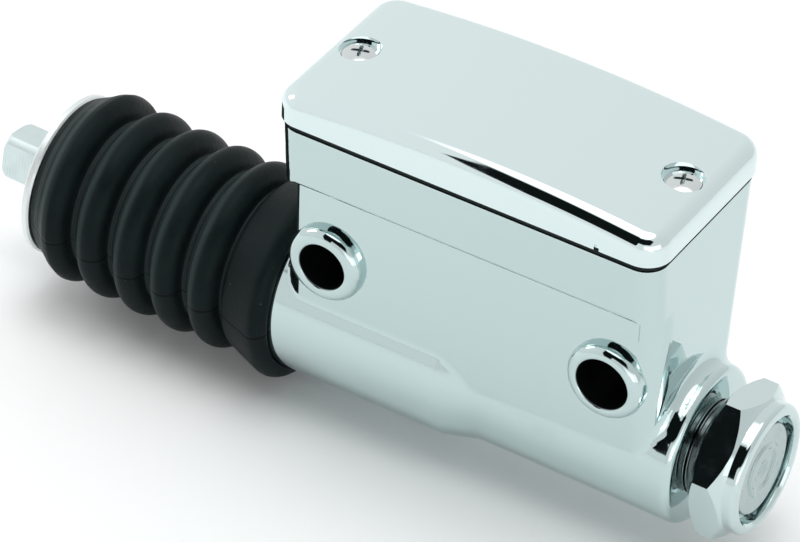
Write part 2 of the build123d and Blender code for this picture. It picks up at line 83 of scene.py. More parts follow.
# ---------------------------------------------------------------- node trees
class Tree:
    """A node tree with short calls that add nodes and join them."""

    def __init__(self, tree: bpy.types.NodeTree) -> None:
        """Keeps the tree that the calls work on.

        Args:
            tree: the node tree to add to.
        """
        self.tree = tree

    def add(self, kind: str, **settings: Any) -> bpy.types.Node:
        """Adds a node.

        Args:
            kind: Blender's name for the node type.
            settings: properties of the node, set as they are given.

        Returns:
            The new node.
        """
        node = self.tree.nodes.new(kind)
        for name, value in settings.items():
            setattr(node, name, value)
        return node

    def feed(self, socket: bpy.types.NodeSocket, value: Any) -> None:
        """Joins an output to a socket, or sets the socket's own value.

        Args:
            socket: the input to fill.
            value: an output socket, or a plain value.
        """
        if isinstance(value, bpy.types.NodeSocket):
            self.tree.links.new(value, socket)
        elif value is not None:
            socket.default_value = value

    def maths(self, operation: str, *values: Any, clamp: bool = False) -> bpy.types.NodeSocket:
        """Adds a Math node.

        Args:
            operation: the node's operation.
            values: its inputs, sockets or numbers.
            clamp: whether the result stays between 0 and 1.

        Returns:
            The result socket.
        """
        node = self.add("ShaderNodeMath", operation=operation, use_clamp=clamp)
        for socket, value in zip(node.inputs, values):
            self.feed(socket, value)
        return node.outputs[0]

    def vector_maths(self, operation: str, *values: Any) -> bpy.types.NodeSocket:
        """Adds a Vector Math node.

        Args:
            operation: the node's operation.
            values: its inputs, sockets or vectors.

        Returns:
            The vector result, or the value of a dot product.
        """
        node = self.add("ShaderNodeVectorMath", operation=operation)
        for socket, value in zip(node.inputs, values):
            self.feed(socket, value)
        return node.outputs["Value" if operation == "DOT_PRODUCT" else "Vector"]

    def ramp(self, value: Any, low: float, high: float, to_low: float = 0.0, to_high: float = 1.0,
             smooth: bool = True) -> bpy.types.NodeSocket:
        """Maps a range of a value onto another.

        Args:
            value: the value to map.
            low: value that gives to_low.
            high: value that gives to_high.
            to_low: result at low.
            to_high: result at high.
            smooth: whether the change eases in and out.

        Returns:
            The mapped value.
        """
        easing = "SMOOTHSTEP" if smooth else "LINEAR"
        node = self.add("ShaderNodeMapRange", interpolation_type=easing, clamp=True)
        for socket, item in zip(node.inputs, (value, low, high, to_low, to_high)):
            self.feed(socket, item)
        return node.outputs[0]

    def noise(self, place: Any, scale: Any, detail: float = 2.0,
              roughness: float = 0.5) -> bpy.types.NodeSocket:
        """Adds a Noise Texture.

        Args:
            place: vector to read the noise at.
            scale: waves per metre.
            detail: octaves.
            roughness: share of the finer octaves.

        Returns:
            The noise value.
        """
        node = self.add("ShaderNodeTexNoise")
        self.feed(node.inputs["Vector"], place)
        self.feed(node.inputs["Scale"], scale)
        node.inputs["Detail"].default_value = detail
        node.inputs["Roughness"].default_value = roughness
        return node.outputs[0]

    def hypotenuse(self, first: Any, second: Any) -> bpy.types.NodeSocket:
        """Works out a distance from its two legs.

        Args:
            first: one leg.
            second: the other leg.

        Returns:
            The distance socket.
        """
        squares = [self.maths("MULTIPLY", leg, leg) for leg in (first, second)]
        return self.maths("SQRT", self.maths("ADD", *squares))

    def mix(self, factor: Any, first: Any, second: Any) -> bpy.types.NodeSocket:
        """Mixes two colours.

        Args:
            factor: share of the second.
            first: colour or socket.
            second: colour or socket.

        Returns:
            The mixed colour.
        """
        node = self.add("ShaderNodeMix", data_type="RGBA")
        self.feed(node.inputs[0], factor)
        for socket, value in ((node.inputs[6], first), (node.inputs[7], second)):
            self.feed(socket, (*value, 1.0) if isinstance(value, tuple) else value)
        return node.outputs[2]

    def split(self, vector: Any) -> Sequence[bpy.types.NodeSocket]:
        """Splits a vector.

        Args:
            vector: the vector's socket.

        Returns:
            Its X, Y and Z sockets.
        """
        node = self.add("ShaderNodeSeparateXYZ")
        self.feed(node.inputs[0], vector)
        return node.outputs

    def join(self, x: Any, y: Any, z: Any) -> bpy.types.NodeSocket:
        """Joins three values into a vector.

        Args:
            x: socket or number for X.
            y: socket or number for Y.
            z: socket or number for Z.

        Returns:
            The vector socket.
        """
        node = self.add("ShaderNodeCombineXYZ")
        for socket, value in zip(node.inputs, (x, y, z)):
            self.feed(socket, value)
        return node.outputs[0]


class Effect(Enum):
    """Surface effects shared by several finishes, each a shader node group."""

    POLISH = "hand_polish"
    TURNING = "turning_marks"
    BORE = "bored_hole"
    GRAIN = "moulded_grain"
    DUST = "settled_dust"


class EffectLibrary:
    """Builds each shared shader node group once and places it in materials."""

    def __init__(self) -> None:
        """Starts with no groups built."""
        self.groups: dict[Effect, bpy.types.NodeTree] = {}

    def place(self, tree: Tree, effect: Effect, **values: Any) -> bpy.types.Node:
        """Places a group in a material.

        Args:
            tree: the material's tree.
            effect: which group.
            values: its inputs by name, with spaces written as underscores.

        Returns:
            The group node.
        """
        if effect not in self.groups:
            self.groups[effect] = getattr(self, "_" + effect.name.lower())(effect.value)
        node = tree.add("ShaderNodeGroup", node_tree=self.groups[effect])
        for name, value in values.items():
            tree.feed(node.inputs[name.replace("_", " ")], value)
        return node

    @staticmethod
    def _start(name: str, inputs: dict[str, float | None], outputs: Sequence[str]) -> tuple[Tree, Any, Any]:
        """Starts a group.

        Args:
            name: the group's name.
            inputs: input names, with None for a vector and a number for a value.
            outputs: names of its value outputs.

        Returns:
            The tree, its input node and its output node.
        """
        group = bpy.data.node_groups.new(name, "ShaderNodeTree")
        for label, default in inputs.items():
            kind = "NodeSocketVector" if default is None else "NodeSocketFloat"
            socket = group.interface.new_socket(label, in_out="INPUT", socket_type=kind)
            if default is not None:
                socket.default_value = default
        for label in outputs:
            group.interface.new_socket(label, in_out="OUTPUT", socket_type="NodeSocketFloat")
        tree = Tree(group)
        return tree, tree.add("NodeGroupInput"), tree.add("NodeGroupOutput")

    def _polish(self, name: str) -> bpy.types.NodeTree:
        """Builds the buffed metal group.

        Args:
            name: the group's name.

        Returns:
            A group with slow buffing waves, fine scratches and a roughness share.
        """
        tree, given, out = self._start(name, {"Place": None, "Wave": 60.0, "Scratch": 2600.0},
                                       ("Height", "Haze"))
        place = given.outputs["Place"]
        wave = tree.noise(place, given.outputs["Wave"], 1.0, 0.3)
        stretched = tree.vector_maths("MULTIPLY", place, (0.12, 1.0, 1.0))
        scratch = tree.noise(stretched, given.outputs["Scratch"], 3.0, 0.7)
        haze = tree.noise(place, tree.maths("MULTIPLY", given.outputs["Wave"], 3.0), 4.0, 0.6)
        tree.feed(out.inputs["Height"], tree.maths("ADD", wave, tree.maths("MULTIPLY", scratch, 0.006)))
        tree.feed(out.inputs["Haze"], tree.ramp(haze, 0.42, 0.72))
        return tree.tree

    def _turning(self, name: str) -> bpy.types.NodeTree:
        """Builds the lathe-cut group.

        Args:
            name: the group's name.

        Returns:
            A group with tool rings about the X axis, along the length and across faces.
        """
        tree, given, out = self._start(name, {"Place": None, "Feed": 6000.0}, ("Height", "Band"))
        x, y, z = tree.split(given.outputs["Place"])
        along = tree.maths("MULTIPLY", tree.maths("ADD", x, tree.hypotenuse(y, z)), given.outputs["Feed"])
        drift = tree.noise(tree.join(along, 0.0, 0.0), 0.13, 4.0, 0.7)
        rings = tree.maths("MULTIPLY", tree.maths("SINE", along), 0.4)
        tree.feed(out.inputs["Height"], tree.maths("ADD", rings, drift))
        tree.feed(out.inputs["Band"], drift)
        return tree.tree

    def _bore(self, name: str) -> bpy.types.NodeTree:
        """Builds the bored hole group.

        Args:
            name: the group's name.

        Returns:
            A group whose mask is 1 inside a hole that runs along Y.
        """
        sizes = {"Place": None, "Across": 0.0, "Up": 0.0, "Radius": 0.005}
        tree, given, out = self._start(name, sizes, ("Mask",))
        x, _, z = tree.split(given.outputs["Place"])
        dx = tree.maths("SUBTRACT", x, given.outputs["Across"])
        dz = tree.maths("SUBTRACT", z, given.outputs["Up"])
        gap = tree.maths("SUBTRACT", tree.hypotenuse(dx, dz), given.outputs["Radius"])
        tree.feed(out.inputs["Mask"], tree.ramp(gap, 0.00003, 0.00028, 1.0, 0.0))
        return tree.tree

    def _grain(self, name: str) -> bpy.types.NodeTree:
        """Builds the moulded grain group.

        Args:
            name: the group's name.

        Returns:
            A group with the fine pitted skin of moulded or cast material and slow blotches.
        """
        tree, given, out = self._start(name, {"Place": None, "Scale": 3000.0}, ("Height", "Blotch"))
        place, scale = given.outputs["Place"], given.outputs["Scale"]
        fine = tree.noise(place, scale, 3.0, 0.65)
        pits = tree.add("ShaderNodeTexVoronoi", feature="SMOOTH_F1")
        tree.feed(pits.inputs["Vector"], place)
        tree.feed(pits.inputs["Scale"], tree.maths("MULTIPLY", scale, 0.35))
        blotch = tree.noise(place, tree.maths("MULTIPLY", scale, 0.035), 4.0, 0.6)
        height = tree.maths("ADD", tree.maths("MULTIPLY", fine, 0.6), pits.outputs["Distance"])
        tree.feed(out.inputs["Height"], height)
        tree.feed(out.inputs["Blotch"], tree.ramp(blotch, 0.3, 0.7))
        return tree.tree

    def _dust(self, name: str) -> bpy.types.NodeTree:
        """Builds the dust group.

        Args:
            name: the group's name.

        Returns:
            A group whose mask holds sparse specks of lint.
        """
        tree, given, out = self._start(name, {"Place": None, "Scale": 700.0, "Size": 0.05}, ("Mask",))
        specks = tree.add("ShaderNodeTexVoronoi", feature="F1")
        specks.inputs["Randomness"].default_value = 1.0
        tree.feed(specks.inputs["Vector"], given.outputs["Place"])
        tree.feed(specks.inputs["Scale"], given.outputs["Scale"])
        near = tree.maths("LESS_THAN", specks.outputs["Distance"], given.outputs["Size"])
        chosen = tree.noise(given.outputs["Place"], 900.0, 1.0)
        tree.feed(out.inputs["Mask"], tree.maths("MULTIPLY", near, tree.ramp(chosen, 0.56, 0.66)))
        return tree.tree


EFFECTS = EffectLibrary()


# ---------------------------------------------------------------- finishes
@dataclass(frozen=True)
class Finish:
    """What every finish shares: a name and the constants of its Principled shader."""

    name: str
    tint: Colour
    metallic: float = 1.0
    roughness: float = 0.3

    def start(self) -> tuple[bpy.types.Material, Tree, bpy.types.Node, bpy.types.NodeSocket]:
        """Starts the material.

        Returns:
            The material, its tree, its Principled node and the Object coordinates.
        """
        material = bpy.data.materials.new(self.name)
        material.use_nodes = True
        tree = Tree(material.node_tree)
        shader = material.node_tree.nodes["Principled BSDF"]
        shader.inputs["Base Color"].default_value = (*self.tint, 1.0)
        shader.inputs["Metallic"].default_value = self.metallic
        shader.inputs["Roughness"].default_value = self.roughness
        material.diffuse_color = (*self.tint, 1.0)
        return material, tree, shader, tree.add("ShaderNodeTexCoord").outputs["Object"]

    @staticmethod
    def emboss(tree: Tree, shader: bpy.types.Node, height: Any, depth: float, strength: float = 1.0) -> None:
        """Adds a bump to the shader.

        Args:
            tree: the material's tree.
            shader: the Principled node.
            height: the height socket.
            depth: the bump's distance in metres.
            strength: how much of it shows.
        """
        bump = tree.add("ShaderNodeBump")
        bump.inputs["Distance"].default_value = depth
        bump.inputs["Strength"].default_value = strength
        tree.feed(bump.inputs["Height"], height)
        tree.feed(shader.inputs["Normal"], bump.outputs[0])


@dataclass(frozen=True)
class Chrome(Finish):
    """Bright plate over buffed metal, with painted shade drawn near black inside its holes and a dull
    unplated cast cavity where it has them.
    """

    wave: float = 60.0
    wave_depth: float = 0.00002
    bores: tuple[tuple[float, float, float], ...] = ()
    cavity: tuple[Point, Point, Point] | None = None

    def material(self) -> bpy.types.Material:
        """Builds the plated finish.

        Returns:
            The material.
        """
        material, tree, shader, place = self.start()
        polish = EFFECTS.place(tree, Effect.POLISH, Place=place, Wave=self.wave)
        dust = EFFECTS.place(tree, Effect.DUST, Place=place, Scale=420.0, Size=0.035)
        unplated_and_shade: Any = 0.0
        # painted shade: each bore's inside goes near black and rough, standing in for the shade deep in the
        # hole; the cast cavity below goes a third of the way there for its dull unplated metal
        for across, up, radius in self.bores:
            hole = EFFECTS.place(tree, Effect.BORE, Place=place, Across=across, Up=up, Radius=radius)
            unplated_and_shade = tree.maths("MAXIMUM", unplated_and_shade, hole.outputs["Mask"])
        if self.cavity:
            inside: Any = 1.0
            for part, (low, high) in zip(tree.split(place), self.cavity):
                within = tree.maths("MULTIPLY", tree.maths("GREATER_THAN", part, low),
                                    tree.maths("LESS_THAN", part, high))
                inside = tree.maths("MULTIPLY", inside, within)
            unplated_and_shade = tree.maths("MAXIMUM", unplated_and_shade, tree.maths("MULTIPLY", inside, 0.35))
        lint = tree.maths("MULTIPLY", dust.outputs["Mask"], 0.35)
        plated = tree.mix(lint, self.tint, (0.55, 0.57, 0.57))
        colour = tree.mix(unplated_and_shade, plated, (0.012, 0.015, 0.015))
        tree.feed(shader.inputs["Base Color"], colour)
        gloss = tree.ramp(polish.outputs["Haze"], 0.0, 1.0, self.roughness, self.roughness + 0.035)
        gloss = tree.maths("ADD", gloss, tree.maths("MULTIPLY", unplated_and_shade, 0.5), clamp=True)
        tree.feed(shader.inputs["Roughness"], gloss)
        self.emboss(tree, shader, polish.outputs["Height"], self.wave_depth)
        return material


@dataclass(frozen=True)
class TurnedSteel(Finish):
    """Lathe-cut or ground metal with tool rings about the axis."""

    feed: float = 6000.0
    depth: float = 0.000004
    stain: Colour = (0.35, 0.37, 0.37)

    def material(self) -> bpy.types.Material:
        """Builds the machined finish.

        Returns:
            The material.
        """
        material, tree, shader, place = self.start()
        rings = EFFECTS.place(tree, Effect.TURNING, Place=place, Feed=self.feed)
        polish = EFFECTS.place(tree, Effect.POLISH, Place=place, Wave=150.0)
        haze = polish.outputs["Haze"]
        share = tree.ramp(rings.outputs["Band"], 0.35, 0.75, 0.0, 0.30)
        tree.feed(shader.inputs["Base Color"], tree.mix(share, self.tint, self.stain))
        gloss = tree.ramp(haze, 0.0, 1.0, self.roughness, self.roughness + 0.12)
        tree.feed(shader.inputs["Roughness"], gloss)
        waves = tree.maths("MULTIPLY", polish.outputs["Height"], 0.5)
        height = tree.maths("ADD", rings.outputs["Height"], waves)
        self.emboss(tree, shader, height, self.depth)
        return material


@dataclass(frozen=True)
class MilledZinc(Finish):
    """Zinc-plated steel cut by a mill: straight cutter marks across the flats and a mottled satin skin."""

    marks: float = 9000.0
    depth: float = 0.00001

    def material(self) -> bpy.types.Material:
        """Builds the milled finish.

        Returns:
            The material.
        """
        material, tree, shader, place = self.start()
        skin = EFFECTS.place(tree, Effect.GRAIN, Place=place, Scale=2400.0)
        x, _, _ = tree.split(place)
        warp = tree.noise(place, 400.0, 2.0)
        along = tree.maths("ADD", tree.maths("MULTIPLY", x, self.marks), tree.maths("MULTIPLY", warp, 5.0))
        patches = tree.ramp(tree.noise(place, 260.0, 2.0), 0.4, 0.6)
        cut = tree.maths("MULTIPLY", tree.maths("SINE", along), patches)
        blotch = skin.outputs["Blotch"]
        shade = tree.maths("ADD", tree.maths("MULTIPLY", blotch, 0.35), tree.maths("MULTIPLY", cut, 0.12),
                           clamp=True)
        dull = tuple(channel * 0.72 for channel in self.tint)
        tree.feed(shader.inputs["Base Color"], tree.mix(shade, self.tint, dull))
        gloss = tree.ramp(blotch, 0.0, 1.0, self.roughness, self.roughness + 0.15)
        tree.feed(shader.inputs["Roughness"], gloss)
        height = tree.maths("ADD", tree.maths("MULTIPLY", cut, 0.8), skin.outputs["Height"])
        self.emboss(tree, shader, height, self.depth)
        return material


@dataclass(frozen=True)
class Rubber(Finish):
    """Matte moulded rubber with a fine skin, a soft bloom and lint."""

    grain: float = 3200.0
    depth: float = 0.00004
    lint: float = 0.5

    def body(self) -> tuple[bpy.types.Material, Tree, bpy.types.Node, Any, Any, Any]:
        """Builds the skin that every rubber piece has.

        Returns:
            The material, tree, shader, place, colour and height.
        """
        material, tree, shader, place = self.start()
        skin = EFFECTS.place(tree, Effect.GRAIN, Place=place, Scale=self.grain)
        dust = EFFECTS.place(tree, Effect.DUST, Place=place, Scale=520.0, Size=0.045)
        bloom = tuple(min(1.0, channel * 1.9 + 0.001) for channel in self.tint)
        shader.inputs["Specular IOR Level"].default_value = 0.10
        shader.inputs["Specular Tint"].default_value = (0.78, 1.0, 1.0, 1.0)
        colour = tree.mix(tree.maths("MULTIPLY", skin.outputs["Blotch"], 0.6), self.tint, bloom)
        colour = tree.mix(tree.maths("MULTIPLY", dust.outputs["Mask"], self.lint), colour, (0.30, 0.32, 0.32))
        tree.feed(shader.inputs["Roughness"],
                  tree.ramp(skin.outputs["Blotch"], 0.0, 1.0, self.roughness, self.roughness + 0.12))
        return material, tree, shader, place, colour, skin.outputs["Height"]

    def material(self) -> bpy.types.Material:
        """Builds the rubber finish.

        Returns:
            The material.
        """
        material, tree, shader, _, colour, height = self.body()
        tree.feed(shader.inputs["Base Color"], colour)
        self.emboss(tree, shader, height, self.depth)
        return material


@dataclass(frozen=True)
class BellowsRubber(Rubber):
    """The boot's rubber, with the mould's parting line, the witness lines in each root, painted light on a
    band over each root and a painted sheen low on the plate side of each crest.
    """

    seam_turn: float = 0.9
    root_lines: tuple[float, float] = (0.0037, 0.0042)

    def material(self) -> bpy.types.Material:
        """Builds the boot finish, which follows attributes stored on the mesh.

        Returns:
            The material.
        """
        material, tree, shader, _, colour, height = self.body()
        turn = tree.add("ShaderNodeAttribute", attribute_name="skin_turn").outputs["Vector"]
        offset = tree.add("ShaderNodeAttribute", attribute_name="fold_offset").outputs["Fac"]
        across = (0.0, -math.sin(self.seam_turn), math.cos(self.seam_turn))
        side = tree.vector_maths("DOT_PRODUCT", turn, across)
        line = tree.ramp(tree.maths("ABSOLUTE", side), 0.009, 0.020, 1.0, 0.0)
        rings: Any = 0.0
        for where in self.root_lines:
            gap = tree.maths("ABSOLUTE", tree.maths("SUBTRACT", tree.maths("ABSOLUTE", offset), where))
            rings = tree.maths("MAXIMUM", rings, tree.ramp(gap, 0.00005, 0.00016, 1.0, 0.0))
        colour = tree.mix(tree.maths("MULTIPLY", line, 0.85), colour, (0.0015, 0.002, 0.002))
        # painted light: a lighter band over each root, standing in for the roots catching the light
        reach = tree.maths("ABSOLUTE", offset)
        painted_root_light = tree.maths("MULTIPLY", tree.ramp(reach, 0.0032, 0.0036),
                          tree.ramp(reach, 0.0046, 0.0050, 1.0, 0.0))
        colour = tree.mix(tree.maths("MULTIPLY", painted_root_light, 0.40), colour, (0.05, 0.066, 0.066))
        colour = tree.mix(tree.maths("MULTIPLY", rings, 0.30), colour, (0.05, 0.066, 0.066))
        # painted sheen low on the plate side of each crest: a lighter colour standing in for the soft
        # highlight there
        wear_and_sheen = tree.maths("MULTIPLY", tree.ramp(offset, -0.0034, -0.0023),
                            tree.ramp(offset, -0.0023, -0.0002, 1.0, 0.0))
        colour = tree.mix(tree.maths("MULTIPLY", wear_and_sheen, 0.55), colour, (0.05, 0.072, 0.070))
        tree.feed(shader.inputs["Base Color"], colour)
        height = tree.maths("SUBTRACT", height, tree.maths("MULTIPLY", line, 6.0))
        height = tree.maths("ADD", height, tree.maths("MULTIPLY", rings, 1.5))
        self.emboss(tree, shader, height, self.depth)
        return material


@dataclass(frozen=True)
class Blackened(Finish):
    """Drawn or pressed spring metal with a dull skin and light rubbed places."""

    wear_and_sheen: Colour = (0.42, 0.43, 0.43)

    def material(self) -> bpy.types.Material:
        """Builds the spring metal finish.

        Returns:
            The material.
        """
        material, tree, shader, place = self.start()
        skin = EFFECTS.place(tree, Effect.GRAIN, Place=place, Scale=2600.0)
        polish = EFFECTS.place(tree, Effect.POLISH, Place=place, Wave=220.0)
        worn = tree.maths("MULTIPLY", polish.outputs["Haze"], 0.5)
        tree.feed(shader.inputs["Base Color"], tree.mix(worn, self.tint, self.wear_and_sheen))
        tree.feed(shader.inputs["Roughness"],
                  tree.ramp(skin.outputs["Blotch"], 0.0, 1.0, self.roughness, self.roughness + 0.18))
        self.emboss(tree, shader, skin.outputs["Height"], 0.000012)
        return material


# ---------------------------------------------------------------- geometry trees
class ShapeTree(Tree):
    """A Geometry Nodes tree with named inputs that makes one plain mesh."""

    def __init__(self, name: str, inputs: dict[str, float | int]) -> None:
        """Starts the tree.

        Args:
            name: the tree's name.
            inputs: named sizes with their defaults; a whole number makes an integer input.
        """
        group = bpy.data.node_groups.new(name, "GeometryNodeTree")
        face = group.interface
        face.new_socket("Geometry", in_out="INPUT", socket_type="NodeSocketGeometry")
        for label, value in inputs.items():
            kind = "NodeSocketInt" if isinstance(value, int) else "NodeSocketFloat"
            face.new_socket(label, in_out="INPUT", socket_type=kind).default_value = value
        face.new_socket("Finish", in_out="INPUT", socket_type="NodeSocketMaterial")
        face.new_socket("Geometry", in_out="OUTPUT", socket_type="NodeSocketGeometry")
        super().__init__(group)
        self.given = self.add("NodeGroupInput").outputs
        self.out = self.add("NodeGroupOutput")

    def end(self, geometry: bpy.types.NodeSocket) -> None:
        """Ends the tree with smooth shading, Realize Instances and Set Material.

        Args:
            geometry: the finished shape.
        """
        smooth = self.add("GeometryNodeSetShadeSmooth")
        real = self.add("GeometryNodeRealizeInstances")
        dress = self.add("GeometryNodeSetMaterial")
        self.feed(smooth.inputs["Geometry"], geometry)
        self.feed(real.inputs["Geometry"], smooth.outputs[0])
        self.feed(dress.inputs["Geometry"], real.outputs[0])
        self.feed(dress.inputs["Material"], self.given["Finish"])
        self.feed(self.out.inputs[0], dress.outputs[0])

    def keep(self, geometry: Any, label: str, value: Any, kind: str = "FLOAT") -> bpy.types.NodeSocket:
        """Stores a named attribute on the points.

        Args:
            geometry: the shape.
            label: the attribute's name.
            value: the field to store.
            kind: its data type.

        Returns:
            The shape with the attribute.
        """
        node = self.add("GeometryNodeStoreNamedAttribute", data_type=kind, domain="POINT")
        self.feed(node.inputs["Geometry"], geometry)
        node.inputs["Name"].default_value = label
        self.feed(node.inputs["Value"], value)
        return node.outputs[0]

    def make(self, name: str, source: bpy.types.Mesh, finish: bpy.types.Material,
             values: dict[str, float | int]) -> bpy.types.Object:
        """Runs the tree on a source mesh and keeps the result as a plain mesh.

        Args:
            name: the piece's name.
            source: the mesh that the tree reads.
            finish: the material it sets.
            values: its named inputs.

        Returns:
            The piece, with no modifier left on it.
        """
        piece = bpy.data.objects.new(name, source)
        bpy.context.scene.collection.objects.link(piece)
        modifier = piece.modifiers.new(name, "NODES")
        modifier.node_group = self.tree
        for item in self.tree.interface.items_tree:
            if item.item_type == "SOCKET" and item.in_out == "INPUT" and item.name != "Geometry":
                modifier[item.identifier] = finish if item.name == "Finish" else values.get(
                    item.name, item.default_value)
        graph = bpy.context.evaluated_depsgraph_get()
        mesh = bpy.data.meshes.new_from_object(piece.evaluated_get(graph), preserve_all_data_layers=True,
                                               depsgraph=graph)
        piece.modifiers.remove(modifier)
        piece.data = mesh
        mesh.name = name
        bpy.data.meshes.remove(source)
        turn_outwards(mesh)
        return piece


def turn_outwards(mesh: bpy.types.Mesh) -> None:
    """Makes a closed mesh's faces point outwards.

    Args:
        mesh: the mesh to mend in place.
    """
    work = bmesh.new()
    work.from_mesh(mesh)
    if work.calc_volume(signed=True) < 0:
        bmesh.ops.reverse_faces(work, faces=work.faces)
    work.to_mesh(mesh)
    work.free()


def outline_mesh(name: str, points: Sequence[Point]) -> bpy.types.Mesh:
    """Makes a closed outline of edges, for a tree to sweep round the axis.

    Args:
        name: the mesh's name.
        points: (x, radius) in millimetres, in order round the section.

    Returns:
        The mesh, with the radius along Z.
    """
    mesh = bpy.data.meshes.new(name)
    count = len(points)
    edges = [(i, (i + 1) % count) for i in range(count)]
    mesh.from_pydata([(x * MM, 0.0, r * MM) for x, r in points], edges, [])
    return mesh


def bellows_tree() -> ShapeTree:
    """Builds the tree that turns a section into a moulded bellows about a gently sagging axis.

    Returns:
        The tree.
    """
    tree = ShapeTree("bellows", {"Section steps": 300, "Round steps": 144, "Collar": -0.092, "Length": 0.058,
                                 "Dip": 0.0, "Lift": 0.0, "First fold": -0.1439, "Fold pitch": 0.00908,
                                 "Last fold": 4.0})
    given = tree.given
    section = tree.add("GeometryNodeMeshToCurve")
    tree.feed(section.inputs["Mesh"], given["Geometry"])
    grid = tree.add("GeometryNodeMeshGrid")
    grid.inputs["Size X"].default_value = grid.inputs["Size Y"].default_value = 1.0
    tree.feed(grid.inputs["Vertices X"], given["Section steps"])
    tree.feed(grid.inputs["Vertices Y"], given["Round steps"])
    u, v, _ = tree.split(tree.add("GeometryNodeInputPosition").outputs[0])
    sample = tree.add("GeometryNodeSampleCurve", mode="FACTOR", use_all_curves=False)
    tree.feed(sample.inputs["Curves"], section.outputs[0])
    tree.feed(sample.inputs["Factor"], tree.maths("ADD", u, 0.5, clamp=True))
    x, _, radius = tree.split(sample.outputs["Position"])
    angle = tree.maths("MULTIPLY", tree.maths("ADD", v, 0.5), 2 * math.pi)
    sine, cosine = tree.maths("SINE", angle), tree.maths("COSINE", angle)
    share = tree.maths("DIVIDE", tree.maths("SUBTRACT", given["Collar"], x), given["Length"])
    away = tree.maths("MAXIMUM", share, 0.0)
    sag = tree.maths("ADD", tree.maths("MULTIPLY", away, given["Dip"]),
                     tree.maths("MULTIPLY", tree.maths("MULTIPLY", away, away), given["Lift"]))
    place = tree.join(x, tree.maths("MULTIPLY", radius, cosine),
                      tree.maths("ADD", tree.maths("MULTIPLY", radius, sine), sag))
    shape = tree.add("GeometryNodeSetPosition")
    fold = tree.maths("ROUND", tree.maths("DIVIDE", tree.maths("SUBTRACT", x, given["First fold"]),
                                          given["Fold pitch"]))
    fold = tree.maths("MINIMUM", tree.maths("MAXIMUM", fold, 0.0), given["Last fold"])
    offset = tree.maths("SUBTRACT", x, tree.maths("ADD", given["First fold"],
                                                  tree.maths("MULTIPLY", fold, given["Fold pitch"])))
    kept = tree.keep(grid.outputs["Mesh"], "fold_offset", offset)
    kept = tree.keep(kept, "skin_turn", tree.join(0.0, cosine, sine), "FLOAT_VECTOR")
    tree.feed(shape.inputs["Geometry"], kept)
    tree.feed(shape.inputs["Position"], place)
    weld = tree.add("GeometryNodeMergeByDistance")
    weld.inputs["Distance"].default_value = 1e-6
    tree.feed(weld.inputs["Geometry"], shape.outputs[0])
    tree.end(weld.outputs[0])
    return tree


def coil_tree() -> ShapeTree:
    """Builds the tree that winds a compression spring with closed end turns along X.

    Returns:
        The tree.
    """
    tree = ShapeTree("coil_spring", {"Turns": 8.0, "Coil radius": 0.01, "Wire radius": 0.001, "Start": 0.0,
                                     "End": 0.05, "Steps": 400})
    given = tree.given
    line = tree.add("GeometryNodeCurvePrimitiveLine")
    steps = tree.add("GeometryNodeResampleCurve")
    tree.feed(steps.inputs["Curve"], line.outputs[0])
    tree.feed(steps.inputs["Count"], given["Steps"])
    along = tree.add("GeometryNodeSplineParameter").outputs["Factor"]
    angle = tree.maths("MULTIPLY", tree.maths("MULTIPLY", along, given["Turns"]), 2 * math.pi)
    dead = tree.maths("DIVIDE", 1.0, given["Turns"])
    wire = tree.maths("MULTIPLY", given["Wire radius"], 2.04)
    length = tree.maths("SUBTRACT", tree.maths("SUBTRACT", given["End"], given["Start"]),
                        tree.maths("MULTIPLY", given["Wire radius"], 2.0))
    first = tree.ramp(along, 0.0, dead, 0.0, wire, smooth=False)
    open_turns = tree.ramp(along, dead, tree.maths("SUBTRACT", 1.0, dead), 0.0,
                           tree.maths("SUBTRACT", length, tree.maths("MULTIPLY", wire, 2.0)), smooth=False)
    last = tree.ramp(along, tree.maths("SUBTRACT", 1.0, dead), 1.0, 0.0, wire, smooth=False)
    x = tree.maths("ADD", tree.maths("ADD", first, open_turns), last)
    x = tree.maths("ADD", x, tree.maths("ADD", given["Start"], given["Wire radius"]))
    place = tree.join(x, tree.maths("MULTIPLY", given["Coil radius"], tree.maths("COSINE", angle)),
                      tree.maths("MULTIPLY", given["Coil radius"], tree.maths("SINE", angle)))
    wound = tree.add("GeometryNodeSetPosition")
    tree.feed(wound.inputs["Geometry"], steps.outputs[0])
    tree.feed(wound.inputs["Position"], place)
    section = tree.add("GeometryNodeCurvePrimitiveCircle")
    section.inputs["Resolution"].default_value = 14
    tree.feed(section.inputs["Radius"], given["Wire radius"])
    sweep = tree.add("GeometryNodeCurveToMesh")
    sweep.inputs["Fill Caps"].default_value = True
    tree.feed(sweep.inputs["Curve"], wound.outputs[0])
    tree.feed(sweep.inputs["Profile Curve"], section.outputs[0])
    tree.end(sweep.outputs[0])
    return tree


# ---------------------------------------------------------------- sub-assemblies
def dress(nodes: Sequence[str], material: bpy.types.Material) -> None:
    """Gives carried-over pieces a finish.

    Args:
        nodes: names of the pieces.
        material: their finish.
    """
    for name in nodes:
        data = NODES[name].data
        data.materials.clear()
        data.materials.append(material)
        log.info("dressed %s in %s", name, material.name)


@dataclass
class Casting:
    """The chromed reservoir and cylinder casting with its two bored bosses."""

    bores: tuple[tuple[float, float, float], ...] = ((-0.079, 0.021, 0.0051), (-0.0152, 0.021, 0.0056))
    cavity: tuple[Point, Point, Point] = ((-0.0846, -0.0091), (-0.0159, 0.0159), (0.0328, 0.0531))

    def dress(self) -> None:
        """Plates the casting."""
        dress(["reservoir_body"], Chrome("chromed_casting", (0.54, 0.655, 0.655), roughness=0.035, wave=70.0,
                                         wave_depth=0.00006, bores=self.bores, cavity=self.cavity).material())


